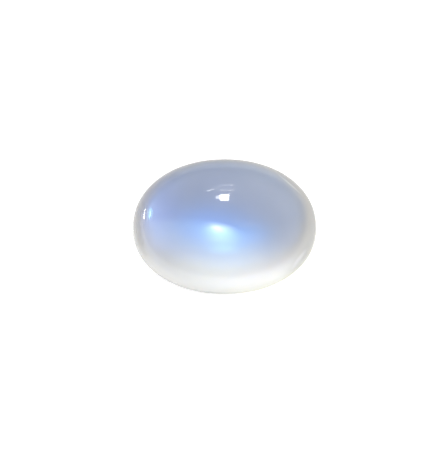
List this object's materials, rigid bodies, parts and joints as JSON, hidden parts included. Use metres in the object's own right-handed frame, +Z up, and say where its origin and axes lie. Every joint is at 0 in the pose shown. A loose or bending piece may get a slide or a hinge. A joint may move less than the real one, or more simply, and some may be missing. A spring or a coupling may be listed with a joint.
{
  "type": "moonstone cabochon",
  "caption": "Polished oval moonstone cabochon with a high smooth dome and a flat base, to be looked at loose or set in jewellery.",
  "frame": {"origin": "the middle of the flat base, on the surface that the stone rests on", "axes": "+X along the oval's long axis, +Y along its short axis, +Z up through the dome"},
  "size_m": [0.016, 0.012, 0.005],
  "materials": {
    "moonstone": "polished"
  },
  "bodies": {
    "root": {"moonstone": "moonstone"}
  },
  "joints": []
}
